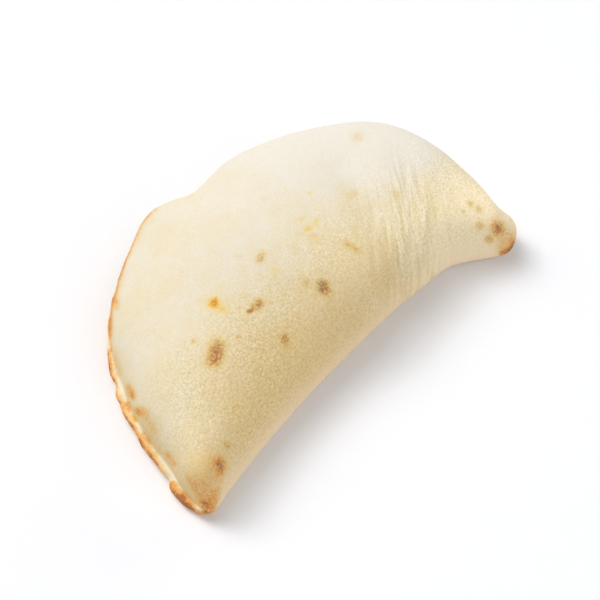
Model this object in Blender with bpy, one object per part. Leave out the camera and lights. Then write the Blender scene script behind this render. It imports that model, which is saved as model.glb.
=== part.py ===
"""A closed folded pizza (calzone): one baked half-moon of dough, free-standing.

Units are metres and +Z is up.  The flat underside lies on z = 0 and the origin is
under the middle of the body's plan.  X runs from tip to tip and Y from the folded
edge out to the sealed rim.

The body is lofted.  Every station holds one closed section that goes from the fold,
along the floor, round the sealing lip at the rim and back over the dome.  A station
joins a point of the fold line to a point of the rim, so the sections spread like a
fan and shrink to nothing at the two tips.
"""

import math

import bmesh
import bpy
import numpy as np

NAME = "calzone"

# Plan of the body, before it is moved over the origin.
RIM_RADIUS = 0.1095          # the rim is an arc of a round of dough
RIM_CENTRE = (0.0, 0.0255)
RIM_ENDS = 9.0               # degrees over which the rim is drawn onto the fold's ends
RIM_SWELLS = (               # degrees, outward metres, width in degrees
    (99.6, 0.0075, 8.4), (91.9, -0.0099, 13.6), (64.3, -0.0036, 12.6),
    (27.9, 0.0080, 16.8), (1.4, -0.0003, 8), (106.5, 0.0012, 18.2),
    (184, 0.0039, 6), (-8, -0.0040, 6),
)
FOLD_FROM, FOLD_TO = -0.1117, 0.1097     # x of the two ends of the fold
FOLD_ARCH = 0.0075           # how far the fold bows in at its middle
FOLD_MIDDLE = 0.0159
FOLD_HALF = 0.112
HOOK_START, HOOK_LENGTH = 0.0642, 0.0344  # the right tip turns toward the front
HOOK_DROP = 0.0128
TIP_CUT_LEFT, TIP_CUT_RIGHT = 0.0059, 0.0136   # rounding of the two tips in plan
TIP_SPAN = 0.035             # share of the stations spent on one tip's rounding
PLAN_MIDDLE = (-0.0023, 0.0627)          # moved onto the origin

# Height of the body.
CROWN = 0.0545               # highest section
TIP_LEFT, TIP_RIGHT = 0.0255, 0.0224
CROWN_FALL = 0.92            # smaller keeps the height up further toward the tips
CAP_WIDTH = 0.032            # a narrower section than this belongs to a rounded tip
TIP_LIFT = 0.0075            # height of the very end of a tip

# Shape of one section.
FOLD_BELLY = 0.28            # height of the fold's widest point, share of the height
WALL_LEFT, WALL_FAR = 0.006, 0.011       # height of the rim wall's widest point
FOLD_LEFT, FOLD_RIGHT = 1.9, 2.7         # superellipse powers on the fold side
SQUARE_LEFT, SQUARE_FAR = 2.1, 2.6       # and on the rim side, left and far right
SQUARE_UNDER = 3.6           # under the widest point
FLOOR_PRESS = 1.04           # presses the underside flat

# Sealing lip along the rim.
LIP_LEFT, LIP_SIDE, LIP_FAR = 0.0055, 0.0018, 0.0030   # how far it stands out of the wall
LIP_ROLLS_IN = (0.19, 0.30)  # share of the way from the left tip where it nearly vanishes
LIP_THICK = 0.0062
LIP_HEIGHT = 0.0040          # middle of its thickness

# Relief, in metres along the surface normal.
PINCHES = (                  # in the lip: degrees, inward metres, width in degrees
    (179.4, 0.0022, 1.8), (165.0, 0.0008, 2.0), (150.0, 0.0018, 1.8), (136.0, 0.0009, 2.2),
    (121.0, 0.0011, 2.0), (107.0, 0.0009, 2.0), (80.0, 0.0012, 2.4), (63.0, 0.0010, 2.2),
    (47.0, 0.0012, 2.0), (31.0, 0.0009, 2.2), (14.0, 0.0011, 2.0),
)
LUMP_DEPTH = 0.0009
LUMPS = ((61.0, 23.0, 0.4), (-38.0, 72.0, 1.9), (104.0, -57.0, 3.3), (33.0, 118.0, 5.2))
FOLDS = (                    # from x, y to x, y, inward metres, half width
    (0.031, 0.008, 0.054, 0.066, 0.0018, 0.010),
    (0.062, 0.010, 0.084, 0.056, 0.0008, 0.006),
    (-0.088, 0.022, -0.100, 0.038, 0.0006, 0.008),
)

STATIONS = 92
ARC_STEPS = 161              # working points of one half section before it is evened out
FLOOR_POINTS, LIP_POINTS, DOME_POINTS = 14, 8, 34


def ease(x):
    """0 to 1 with flat ends."""
    x = np.clip(x, 0.0, 1.0)
    return x * x * (3.0 - 2.0 * x)


def bell(x, middle, width):
    return np.exp(-(((x - middle) / width) ** 2))


def blend(a, b, k):
    return a + (b - a) * k


def stations(count):
    """Positions 0..1 from tip to tip, closer together at the tips."""
    k = (np.arange(count) + 0.5) / count
    return k - 0.60 * np.sin(2.0 * np.pi * k) / (2.0 * np.pi)


def fold_at(x):
    arch = FOLD_ARCH * (1.0 - ((x - FOLD_MIDDLE) / FOLD_HALF) ** 2)
    return np.column_stack((x, arch - HOOK_DROP * ease((x - HOOK_START) / HOOK_LENGTH)))


def rim_radius(degrees):
    return RIM_RADIUS + sum(out * bell(degrees, at, wide) for at, out, wide in RIM_SWELLS)


def rim_ends():
    """For the left and right end of the fold: its angle on the rim and what the rim lacks."""
    ends = []
    for point in fold_at(np.array([FOLD_FROM, FOLD_TO])):
        x, y = point - RIM_CENTRE
        angle = (math.degrees(math.atan2(y, x)) + 90.0) % 360.0 - 90.0
        ends.append((angle, math.hypot(x, y) - rim_radius(angle)))
    return ends


def rim_at(degrees):
    radius = rim_radius(degrees)
    for at, lack in rim_ends():
        radius = radius + lack * bell(degrees, at, RIM_ENDS)
    angle = np.radians(degrees)
    return np.column_stack((RIM_CENTRE[0] + radius * np.cos(angle),
                            RIM_CENTRE[1] + radius * np.sin(angle)))


def round_tip(u, cut):
    """Distances along the own edge and toward the other one, from the sharp tip."""
    turn = 0.25 * np.pi * (1.0 + np.minimum(u / TIP_SPAN, 1.0))
    return cut * (1.0 - np.cos(turn)), cut * (1.0 - np.sin(turn))


def outlines(u):
    """Fold and rim of every station; the tips between them are rounded off."""
    k = np.clip((u - TIP_SPAN) / (1.0 - 2.0 * TIP_SPAN), 0.0, 1.0)
    along_l, over_l = round_tip(u, TIP_CUT_LEFT)
    along_r, over_r = round_tip(1.0 - u, TIP_CUT_RIGHT)
    x = blend(FOLD_FROM + along_l, FOLD_TO - along_r, k)
    turn_l, turn_r = (np.degrees(a / RIM_RADIUS) for a in (along_l, along_r))
    (left, _), (right, _) = rim_ends()
    degrees = blend(left - turn_l, right + turn_r, k)
    fold, rim = fold_at(x), rim_at(degrees)
    step = np.array([0.003])
    for over, edge_x, edge_degrees, way in ((over_l, FOLD_FROM, left, 1.0),
                                            (over_r, FOLD_TO, right, -1.0)):
        x_end, d_end = np.array([edge_x]), np.array([edge_degrees])
        to_fold = fold_at(x_end + way * step) - fold_at(x_end)
        to_rim = rim_at(d_end - way * 2.0) - rim_at(d_end)
        fold = fold + over[:, None] * to_rim / np.linalg.norm(to_rim)
        rim = rim + over[:, None] * to_fold / np.linalg.norm(to_fold)
    return fold, rim, degrees


def even(points, count):
    """The same line with `count` evenly spaced points, without its last one."""
    step = np.hypot(np.diff(points[:, 0]), np.diff(points[:, 1]))
    along = np.concatenate(([0.0], np.cumsum(step)))
    at = np.linspace(0.0, along[-1], count + 1)[:-1]
    return np.column_stack((np.interp(at, along, points[:, 0]),
                            np.interp(at, along, points[:, 1])))


def section(u, width, counts):
    """One closed section as (distance from the fold, height)."""
    far = float(ease((u - 0.45) / 0.20))
    cap = math.sin(0.5 * math.pi * min(1.0, width / CAP_WIDTH)) ** 0.8
    tip = blend(TIP_LEFT, TIP_RIGHT, u)
    height = cap * (tip + (CROWN - tip) * math.sin(math.pi * u) ** CROWN_FALL)
    side = float(ease((u - LIP_ROLLS_IN[0]) / (LIP_ROLLS_IN[1] - LIP_ROLLS_IN[0])))
    lip = blend(blend(LIP_LEFT, LIP_SIDE, side), LIP_FAR, far) * float(ease(width / 0.024))
    body = width - lip
    belly = FOLD_BELLY * height
    wall = min(blend(WALL_LEFT, WALL_FAR, far), 0.45 * height)
    square = blend(SQUARE_LEFT, SQUARE_FAR, far)

    def arc(angle, power_fold, power_rim, press):
        c, s = np.cos(angle), np.abs(np.sin(angle))
        power = blend(power_fold, power_rim, 0.5 + 0.5 * c)
        across = 0.5 + 0.5 * np.sign(c) * np.abs(c) ** (2.0 / power)
        return across, np.minimum(1.0, press * s ** (2.0 / power))

    x, rise = arc(np.linspace(0.0, math.pi, ARC_STEPS), blend(FOLD_LEFT, FOLD_RIGHT, far),
                  square, 1.0)
    middle = blend(belly, wall, x)
    dome = np.column_stack((x * body, middle + (height - middle) * rise))
    x, drop = arc(np.linspace(math.pi, 2.0 * math.pi, ARC_STEPS), SQUARE_UNDER, SQUARE_UNDER,
                  FLOOR_PRESS)
    floor = np.column_stack((x * body, blend(belly, wall, x) * (1.0 - drop)))

    half = 0.5 * min(LIP_THICK, 0.5 * height)
    at = min(LIP_HEIGHT, 0.5 * height)
    low, high = max(0.0, at - half), at + half
    rim_side = np.vstack((floor[floor[:, 0] > 0.5 * body], dome[dome[:, 0] > 0.5 * body]))
    t_low = np.interp(low + 1e-5, rim_side[:, 1], rim_side[:, 0])
    t_high = np.interp(high, rim_side[:, 1], rim_side[:, 0])
    floor = np.vstack((floor[floor[:, 0] < min(t_low, width)], (t_low, low)))
    turn = np.linspace(-0.5 * math.pi, 0.5 * math.pi, 41)
    root = np.where(turn < 0.0, t_low, t_high)
    nose = np.column_stack((root + (width - root) * np.abs(np.cos(turn)) ** 0.7,
                            at + half * np.sin(turn)))
    above = rim_side[rim_side[:, 1] > high]
    dome = np.vstack(((t_high, high), above, dome[dome[:, 0] <= 0.5 * body]))
    ring = np.vstack([even(line, n) for line, n in zip((floor, nose, dome), counts)])
    ring[:, 1] += TIP_LIFT * (1.0 - cap) ** 2
    return ring


def normals(rings):
    along = np.gradient(rings, axis=0)
    around = np.roll(rings, -1, axis=1) - np.roll(rings, 1, axis=1)
    n = np.cross(around, along)
    return n / np.maximum(np.linalg.norm(n, axis=2, keepdims=True), 1e-12)


def segment_gap(x, y, ax, ay, bx, by):
    """Distance in plan from the segment a-b."""
    dx, dy = bx - ax, by - ay
    k = np.clip(((x - ax) * dx + (y - ay) * dy) / (dx * dx + dy * dy), 0.0, 1.0)
    return np.hypot(x - ax - k * dx, y - ay - k * dy)


def relief(rings, degrees, counts):
    """Lumps, pressed folds and pinches in the lip, outward positive."""
    x, y, z = rings[..., 0], rings[..., 1], rings[..., 2]
    top = ease((z - 0.004) / 0.020)
    lumps = sum(np.sin(a * x + b * y + c) for a, b, c in LUMPS) / len(LUMPS)
    out = LUMP_DEPTH * lumps * top
    for ax, ay, bx, by, depth, wide in FOLDS:
        out = out - depth * bell(segment_gap(x, y, ax, ay, bx, by), 0.0, wide) * top
    pinch = sum(depth * bell(degrees, at, wide) for at, depth, wide in PINCHES)
    lip = bell(np.arange(rings.shape[1]), counts[0] + 0.5 * counts[1], 0.42 * counts[1])
    return out - pinch[:, None] * lip[None, :] * ease(z / 0.003)


def skin(stations_wanted, counts):
    """Rings of the finished surface, tip to tip, with the two tip points."""
    u = stations(stations_wanted)
    fold, rim, degrees = outlines(u)
    width = np.hypot(*(rim - fold).T)
    across = (rim - fold) / width[:, None]
    rings = []
    for i in range(stations_wanted):
        t, z = section(u[i], width[i], counts).T
        rings.append(np.column_stack((fold[i, 0] + across[i, 0] * t,
                                      fold[i, 1] + across[i, 1] * t, z)))
    rings = np.array(rings)
    push = normals(rings) * relief(rings, degrees, counts)[..., None]
    rings = rings + push
    rings[..., 2] = np.maximum(rings[..., 2], 0.0)
    rings[..., :2] -= PLAN_MIDDLE
    return rings


def build():
    counts = (FLOOR_POINTS, LIP_POINTS, DOME_POINTS)
    rings = skin(STATIONS, counts)
    around = rings.shape[1]
    mesh = bmesh.new()
    grid = [[mesh.verts.new(point) for point in ring] for ring in rings]
    for near, far in zip(grid, grid[1:]):
        for j in range(around):
            k = (j + 1) % around
            mesh.faces.new((near[j], near[k], far[k]))
            mesh.faces.new((near[j], far[k], far[j]))
    for ring, flip in ((grid[0], True), (grid[-1], False)):
        middle = mesh.verts.new(np.mean([vert.co for vert in ring], axis=0))
        for j in range(around):
            a, b = ring[j], ring[(j + 1) % around]
            mesh.faces.new((b, a, middle) if flip else (a, b, middle))
    bmesh.ops.recalc_face_normals(mesh, faces=mesh.faces)
    data = bpy.data.meshes.new(NAME)
    mesh.to_mesh(data)
    mesh.free()
    for face in data.polygons:
        face.use_smooth = True
    return data


def dough():
    material = bpy.data.materials.new("baked_dough")
    material.use_nodes = True
    shader = material.node_tree.nodes["Principled BSDF"]
    shader.inputs["Base Color"].default_value = (0.80, 0.66, 0.42, 1.0)
    shader.inputs["Roughness"].default_value = 0.75
    return material


for old in list(bpy.data.objects):
    bpy.data.objects.remove(old, do_unlink=True)

calzone = bpy.data.objects.new(NAME, build())
calzone.data.materials.append(dough())
group = bpy.data.collections.new(NAME)
bpy.context.scene.collection.children.link(group)
group.objects.link(calzone)
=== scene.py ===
"""Looks of the calzone: detailed dough mesh, baked-dough material, floor, light and camera."""
import math

import bpy
import numpy as np
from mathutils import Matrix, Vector


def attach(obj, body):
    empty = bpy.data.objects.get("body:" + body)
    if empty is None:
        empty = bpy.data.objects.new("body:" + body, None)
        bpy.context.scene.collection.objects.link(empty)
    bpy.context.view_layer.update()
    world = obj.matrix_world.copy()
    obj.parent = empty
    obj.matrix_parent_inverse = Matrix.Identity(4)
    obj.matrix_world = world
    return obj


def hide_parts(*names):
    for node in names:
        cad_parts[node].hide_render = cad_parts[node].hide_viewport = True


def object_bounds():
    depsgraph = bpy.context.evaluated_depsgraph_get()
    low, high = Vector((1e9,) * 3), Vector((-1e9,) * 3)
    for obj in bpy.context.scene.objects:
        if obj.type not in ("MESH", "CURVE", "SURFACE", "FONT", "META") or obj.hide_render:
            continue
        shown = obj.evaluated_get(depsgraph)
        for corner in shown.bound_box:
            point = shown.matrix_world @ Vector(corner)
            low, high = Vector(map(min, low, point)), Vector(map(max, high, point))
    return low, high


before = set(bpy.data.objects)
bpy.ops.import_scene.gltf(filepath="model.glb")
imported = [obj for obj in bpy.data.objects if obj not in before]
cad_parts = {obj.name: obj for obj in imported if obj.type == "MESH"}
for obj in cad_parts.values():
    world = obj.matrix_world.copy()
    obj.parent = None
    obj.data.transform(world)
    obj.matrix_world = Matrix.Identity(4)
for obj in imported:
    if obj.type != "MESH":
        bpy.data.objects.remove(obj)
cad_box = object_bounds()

NAME = "calzone"

# ---------------------------------------------------------------- shared shape
# The sizes and functions here are those of the part's own source.
# Plan of the body, before it is moved over the origin.
RIM_RADIUS = 0.1095          # the rim is an arc of a round of dough
RIM_CENTRE = (0.0, 0.0255)
RIM_ENDS = 9.0               # degrees over which the rim is drawn onto the fold's ends
RIM_SWELLS = (               # degrees, outward metres, width in degrees
    (99.6, 0.0075, 8.4), (91.9, -0.0099, 13.6), (64.3, -0.0036, 12.6),
    (27.9, 0.0080, 16.8), (1.4, -0.0003, 8), (106.5, 0.0012, 18.2),
    (184, 0.0039, 6), (-8, -0.0040, 6),
)
FOLD_FROM, FOLD_TO = -0.1117, 0.1097     # x of the two ends of the fold
FOLD_ARCH = 0.0075           # how far the fold bows in at its middle
FOLD_MIDDLE = 0.0159
FOLD_HALF = 0.112
HOOK_START, HOOK_LENGTH = 0.0642, 0.0344  # the right tip turns toward the front
HOOK_DROP = 0.0128
TIP_CUT_LEFT, TIP_CUT_RIGHT = 0.0059, 0.0136   # rounding of the two tips in plan
TIP_SPAN = 0.035             # share of the stations spent on one tip's rounding
PLAN_MIDDLE = (-0.0023, 0.0627)          # moved onto the origin

# Height of the body.
CROWN = 0.0545               # highest section
TIP_LEFT, TIP_RIGHT = 0.0255, 0.0224
CROWN_FALL = 0.92            # smaller keeps the height up further toward the tips
CAP_WIDTH = 0.032            # a narrower section than this belongs to a rounded tip
TIP_LIFT = 0.0075            # height of the very end of a tip

# Shape of one section.
FOLD_BELLY = 0.28            # height of the fold's widest point, share of the height
WALL_LEFT, WALL_FAR = 0.006, 0.011       # height of the rim wall's widest point
FOLD_LEFT, FOLD_RIGHT = 1.9, 2.7         # superellipse powers on the fold side
SQUARE_LEFT, SQUARE_FAR = 2.1, 2.6       # and on the rim side, left and far right
SQUARE_UNDER = 3.6           # under the widest point
FLOOR_PRESS = 1.04           # presses the underside flat

# Sealing lip along the rim.
LIP_LEFT, LIP_SIDE, LIP_FAR = 0.0055, 0.0018, 0.0030   # how far it stands out of the wall
LIP_ROLLS_IN = (0.19, 0.30)  # share of the way from the left tip where it nearly vanishes
LIP_THICK = 0.0062
LIP_HEIGHT = 0.0040          # middle of its thickness

# Relief, in metres along the surface normal.
PINCHES = (                  # in the lip: degrees, inward metres, width in degrees
    (179.4, 0.0022, 1.8), (165.0, 0.0008, 2.0), (150.0, 0.0018, 1.8), (136.0, 0.0009, 2.2),
    (121.0, 0.0011, 2.0), (107.0, 0.0009, 2.0), (80.0, 0.0012, 2.4), (63.0, 0.0010, 2.2),
    (47.0, 0.0012, 2.0), (31.0, 0.0009, 2.2), (14.0, 0.0011, 2.0),
)
LUMP_DEPTH = 0.0009
LUMPS = ((61.0, 23.0, 0.4), (-38.0, 72.0, 1.9), (104.0, -57.0, 3.3), (33.0, 118.0, 5.2))
FOLDS = (                    # from x, y to x, y, inward metres, half width
    (0.031, 0.008, 0.054, 0.066, 0.0018, 0.010),
    (0.062, 0.010, 0.084, 0.056, 0.0008, 0.006),
    (-0.088, 0.022, -0.100, 0.038, 0.0006, 0.008),
)


def ease(x):
    """0 to 1 with flat ends."""
    x = np.clip(x, 0.0, 1.0)
    return x * x * (3.0 - 2.0 * x)


def bell(x, middle, width):
    return np.exp(-(((x - middle) / width) ** 2))


def blend(a, b, k):
    return a + (b - a) * k


def stations(count):
    """Positions 0..1 from tip to tip, closer together at the tips."""
    k = (np.arange(count) + 0.5) / count
    return k - 0.60 * np.sin(2.0 * np.pi * k) / (2.0 * np.pi)


def fold_at(x):
    arch = FOLD_ARCH * (1.0 - ((x - FOLD_MIDDLE) / FOLD_HALF) ** 2)
    return np.column_stack((x, arch - HOOK_DROP * ease((x - HOOK_START) / HOOK_LENGTH)))


def rim_radius(degrees):
    return RIM_RADIUS + sum(out * bell(degrees, at, wide) for at, out, wide in RIM_SWELLS)


def rim_ends():
    """For the left and right end of the fold: its angle on the rim and what the rim lacks."""
    ends = []
    for point in fold_at(np.array([FOLD_FROM, FOLD_TO])):
        x, y = point - RIM_CENTRE
        angle = (math.degrees(math.atan2(y, x)) + 90.0) % 360.0 - 90.0
        ends.append((angle, math.hypot(x, y) - rim_radius(angle)))
    return ends


def rim_at(degrees):
    radius = rim_radius(degrees)
    for at, lack in rim_ends():
        radius = radius + lack * bell(degrees, at, RIM_ENDS)
    angle = np.radians(degrees)
    return np.column_stack((RIM_CENTRE[0] + radius * np.cos(angle),
                            RIM_CENTRE[1] + radius * np.sin(angle)))


def round_tip(u, cut):
    """Distances along the own edge and toward the other one, from the sharp tip."""
    turn = 0.25 * np.pi * (1.0 + np.minimum(u / TIP_SPAN, 1.0))
    return cut * (1.0 - np.cos(turn)), cut * (1.0 - np.sin(turn))


def outlines(u):
    """Fold and rim of every station; the tips between them are rounded off."""
    k = np.clip((u - TIP_SPAN) / (1.0 - 2.0 * TIP_SPAN), 0.0, 1.0)
    along_l, over_l = round_tip(u, TIP_CUT_LEFT)
    along_r, over_r = round_tip(1.0 - u, TIP_CUT_RIGHT)
    x = blend(FOLD_FROM + along_l, FOLD_TO - along_r, k)
    turn_l, turn_r = (np.degrees(a / RIM_RADIUS) for a in (along_l, along_r))
    (left, _), (right, _) = rim_ends()
    degrees = blend(left - turn_l, right + turn_r, k)
    fold, rim = fold_at(x), rim_at(degrees)
    step = np.array([0.003])
    for over, edge_x, edge_degrees, way in ((over_l, FOLD_FROM, left, 1.0),
                                            (over_r, FOLD_TO, right, -1.0)):
        x_end, d_end = np.array([edge_x]), np.array([edge_degrees])
        to_fold = fold_at(x_end + way * step) - fold_at(x_end)
        to_rim = rim_at(d_end - way * 2.0) - rim_at(d_end)
        fold = fold + over[:, None] * to_rim / np.linalg.norm(to_rim)
        rim = rim + over[:, None] * to_fold / np.linalg.norm(to_fold)
    return fold, rim, degrees


def even(points, count):
    """The same line with `count` evenly spaced points, without its last one."""
    step = np.hypot(np.diff(points[:, 0]), np.diff(points[:, 1]))
    along = np.concatenate(([0.0], np.cumsum(step)))
    at = np.linspace(0.0, along[-1], count + 1)[:-1]
    return np.column_stack((np.interp(at, along, points[:, 0]),
                            np.interp(at, along, points[:, 1])))


def section(u, width, counts):
    """One closed section as (distance from the fold, height)."""
    far = float(ease((u - 0.45) / 0.20))
    cap = math.sin(0.5 * math.pi * min(1.0, width / CAP_WIDTH)) ** 0.8
    tip = blend(TIP_LEFT, TIP_RIGHT, u)
    height = cap * (tip + (CROWN - tip) * math.sin(math.pi * u) ** CROWN_FALL)
    side = float(ease((u - LIP_ROLLS_IN[0]) / (LIP_ROLLS_IN[1] - LIP_ROLLS_IN[0])))
    lip = blend(blend(LIP_LEFT, LIP_SIDE, side), LIP_FAR, far) * float(ease(width / 0.024))
    body = width - lip
    belly = FOLD_BELLY * height
    wall = min(blend(WALL_LEFT, WALL_FAR, far), 0.45 * height)
    square = blend(SQUARE_LEFT, SQUARE_FAR, far)

    def arc(angle, power_fold, power_rim, press):
        c, s = np.cos(angle), np.abs(np.sin(angle))
        power = blend(power_fold, power_rim, 0.5 + 0.5 * c)
        across = 0.5 + 0.5 * np.sign(c) * np.abs(c) ** (2.0 / power)
        return across, np.minimum(1.0, press * s ** (2.0 / power))

    x, rise = arc(np.linspace(0.0, math.pi, ARC_STEPS), blend(FOLD_LEFT, FOLD_RIGHT, far),
                  square, 1.0)
    middle = blend(belly, wall, x)
    dome = np.column_stack((x * body, middle + (height - middle) * rise))
    x, drop = arc(np.linspace(math.pi, 2.0 * math.pi, ARC_STEPS), SQUARE_UNDER, SQUARE_UNDER,
                  FLOOR_PRESS)
    floor = np.column_stack((x * body, blend(belly, wall, x) * (1.0 - drop)))

    half = 0.5 * min(LIP_THICK, 0.5 * height)
    at = min(LIP_HEIGHT, 0.5 * height)
    low, high = max(0.0, at - half), at + half
    rim_side = np.vstack((floor[floor[:, 0] > 0.5 * body], dome[dome[:, 0] > 0.5 * body]))
    t_low = np.interp(low + 1e-5, rim_side[:, 1], rim_side[:, 0])
    t_high = np.interp(high, rim_side[:, 1], rim_side[:, 0])
    floor = np.vstack((floor[floor[:, 0] < min(t_low, width)], (t_low, low)))
    turn = np.linspace(-0.5 * math.pi, 0.5 * math.pi, 41)
    root = np.where(turn < 0.0, t_low, t_high)
    nose = np.column_stack((root + (width - root) * np.abs(np.cos(turn)) ** 0.7,
                            at + half * np.sin(turn)))
    above = rim_side[rim_side[:, 1] > high]
    dome = np.vstack(((t_high, high), above, dome[dome[:, 0] <= 0.5 * body]))
    ring = np.vstack([even(line, n) for line, n in zip((floor, nose, dome), counts)])
    ring[:, 1] += TIP_LIFT * (1.0 - cap) ** 2
    return ring


def normals(rings):
    along = np.gradient(rings, axis=0)
    around = np.roll(rings, -1, axis=1) - np.roll(rings, 1, axis=1)
    n = np.cross(around, along)
    return n / np.maximum(np.linalg.norm(n, axis=2, keepdims=True), 1e-12)


def segment_gap(x, y, ax, ay, bx, by):
    """Distance in plan from the segment a-b."""
    dx, dy = bx - ax, by - ay
    k = np.clip(((x - ax) * dx + (y - ay) * dy) / (dx * dx + dy * dy), 0.0, 1.0)
    return np.hypot(x - ax - k * dx, y - ay - k * dy)


def relief(rings, degrees, counts):
    """Lumps, pressed folds and pinches in the lip, outward positive."""
    x, y, z = rings[..., 0], rings[..., 1], rings[..., 2]
    top = ease((z - 0.004) / 0.020)
    lumps = sum(np.sin(a * x + b * y + c) for a, b, c in LUMPS) / len(LUMPS)
    out = LUMP_DEPTH * lumps * top
    for ax, ay, bx, by, depth, wide in FOLDS:
        out = out - depth * bell(segment_gap(x, y, ax, ay, bx, by), 0.0, wide) * top
    pinch = sum(depth * bell(degrees, at, wide) for at, depth, wide in PINCHES)
    lip = bell(np.arange(rings.shape[1]), counts[0] + 0.5 * counts[1], 0.42 * counts[1])
    return out - pinch[:, None] * lip[None, :] * ease(z / 0.003)


# ---------------------------------------------------------------- the mesh
ARC_STEPS = 641              # working points of one half section before it is evened out
STATIONS, FLOOR_POINTS, LIP_POINTS, DOME_POINTS = 380, 20, 36, 204
COUNTS = (FLOOR_POINTS, LIP_POINTS, DOME_POINTS)
RING = np.arange(sum(COUNTS))            # place on a ring: floor, lip, then dome to the fold
BOX_GAP = 0.00002            # left free inside the part's box


def ramp(value, start, full):
    """0 at `start` and 1 at `full`, flat at both ends."""
    return ease((value - start) / (full - start))


def skin():
    """The part's surface as rings, tip to tip, with the rim angle of every station."""
    u = stations(STATIONS)
    fold, rim, degrees = outlines(u)
    width = np.hypot(*(rim - fold).T)
    across = (rim - fold) / width[:, None]
    rings = []
    for i in range(STATIONS):
        t, z = section(u[i], width[i], COUNTS).T
        rings.append(np.column_stack((fold[i, 0] + across[i, 0] * t,
                                      fold[i, 1] + across[i, 1] * t, z)))
    rings = np.array(rings)
    rings = rings + normals(rings) * relief(rings, degrees, COUNTS)[..., None]
    rings[..., :2] -= PLAN_MIDDLE
    return degrees, rings


def fit_box(rings, box):
    """Scaled a little about the box where the relief would pass its faces."""
    low, high = np.array(box[0]), np.array(box[1])
    flat = rings.reshape(-1, 3)
    own_low, own_high = flat.min(axis=0), flat.max(axis=0)
    scale = np.minimum(1.0, (high - low - 2.0 * BOX_GAP) / (own_high - own_low))
    middle, own_middle = 0.5 * (low + high), 0.5 * (own_low + own_high)
    fitted = (rings - own_middle) * scale + middle
    fitted[..., 2] = np.minimum(rings[..., 2] * scale[2], high[2] - BOX_GAP)
    return fitted


def grid_mesh(name, rings):
    """Quads between the rings and a fan of triangles over each tip."""
    stations_made, around = rings.shape[:2]
    verts = [tuple(p) for p in rings.reshape(-1, 3)]
    verts += [tuple(rings[0].mean(axis=0)), tuple(rings[-1].mean(axis=0))]
    left_tip, right_tip = len(verts) - 2, len(verts) - 1
    faces = []
    for i in range(stations_made - 1):
        a, b = i * around, (i + 1) * around
        for j in range(around):
            k = (j + 1) % around
            faces.append((a + j, b + j, b + k, a + k))
    last = (stations_made - 1) * around
    for j in range(around):
        k = (j + 1) % around
        faces.append((j, k, left_tip))
        faces.append((last + k, last + j, right_tip))
    data = bpy.data.meshes.new(name)
    data.from_pydata(verts, [], faces)
    data.update()
    for face in data.polygons:
        face.use_smooth = True
    return data


# ---------------------------------------------------------------- fine relief
NOISE_SIZE = 48              # lattice points each way before the noise repeats
SEED_SHIFT = 11.3            # lattice cells from one seed's place to the next

# The drawn-together skin near the right end; plan directions and places in metres.
WRINKLE_ANGLE = math.radians(52.0)
WRINKLE_PLACE = (0.0550, -0.0410)
WRINKLE_REACH = (0.036, 0.021)           # along and across
WRINKLE_FALL = 1.3           # larger gives the patch a harder edge
WRINKLE_PITCH, WRINKLE_LENGTH = 0.0027, 0.019
WRINKLE_DEPTH = 0.00078
WRINKLE_WAVER, WAVER_CELL = 0.0022, 0.014
WRINKLE_CURVE = 0.9          # across per metre along, squared
SMALLER_WRINKLES = (2.1, 1.6, 1.0)       # how much finer the second set is
SMALLER_SHARE = 0.5          # and its height next to the first
WAVER_SEED, WRINKLE_SEED, SMALLER_SEED = 41, 42, 43

# Relief all over the top, which grows between two heights above the floor.
TOP_RELIEF = (0.003, 0.015)
TOP_LUMPS = (                # cell and depth in metres, seed, layers
    (0.0220, 0.00042, 5, 3), (0.0065, 0.00016, 6, 3), (0.0024, 0.00007, 7, 2),
)

LIP_RELIEF_FULL = 0.0025     # height at which the lip's relief has its full depth


def lattice_noise(points, cell, seed):
    """Smooth noise -1..1 on a cubic lattice."""
    table = np.random.RandomState(seed).uniform(-1.0, 1.0, (NOISE_SIZE,) * 3)
    p = points / cell + SEED_SHIFT * seed
    i = np.floor(p).astype(int)
    f = ease(p - i)
    total = 0.0
    for dx in (0, 1):
        wx = f[..., 0] if dx else 1.0 - f[..., 0]
        for dy in (0, 1):
            wy = f[..., 1] if dy else 1.0 - f[..., 1]
            for dz in (0, 1):
                wz = f[..., 2] if dz else 1.0 - f[..., 2]
                total = total + wx * wy * wz * table[(i[..., 0] + dx) % NOISE_SIZE,
                                                     (i[..., 1] + dy) % NOISE_SIZE,
                                                     (i[..., 2] + dz) % NOISE_SIZE]
    return total


def layered(points, cell, seed, layers=3):
    """Noise with finer and weaker noise on top of it."""
    total = sum(lattice_noise(points, cell / 2 ** k, seed + 3 * k) / 2 ** k for k in range(layers))
    return total / (2.0 - 0.5 ** (layers - 1))


def by_wrinkles(x, y):
    """Plan coordinates turned along and across the wrinkles."""
    c, s = math.cos(WRINKLE_ANGLE), math.sin(WRINKLE_ANGLE)
    return x * c + y * s, x * s - y * c


def drawn_together(points):
    """1 in the middle of the wrinkled patch, 0 outside it."""
    along, across = by_wrinkles(points[..., 0] - WRINKLE_PLACE[0],
                                points[..., 1] - WRINKLE_PLACE[1])
    away = (along / WRINKLE_REACH[0]) ** 2 + (across / WRINKLE_REACH[1]) ** 2
    return np.exp(-away ** WRINKLE_FALL)


def wrinkles(points):
    """Long narrow ridges, 0 outside their patch."""
    along, across = by_wrinkles(points[..., 0], points[..., 1])
    flat = np.zeros_like(along)
    waver = lattice_noise(np.stack((across, along, flat), -1), WAVER_CELL, WAVER_SEED)
    across = across + WRINKLE_WAVER * waver + WRINKLE_CURVE * along ** 2
    line = np.stack((across / WRINKLE_PITCH, along / WRINKLE_LENGTH, flat), -1)
    smaller = SMALLER_SHARE * lattice_noise(line * SMALLER_WRINKLES, 1.0, SMALLER_SEED)
    return (lattice_noise(line, 1.0, WRINKLE_SEED) + smaller) * drawn_together(points)


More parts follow.
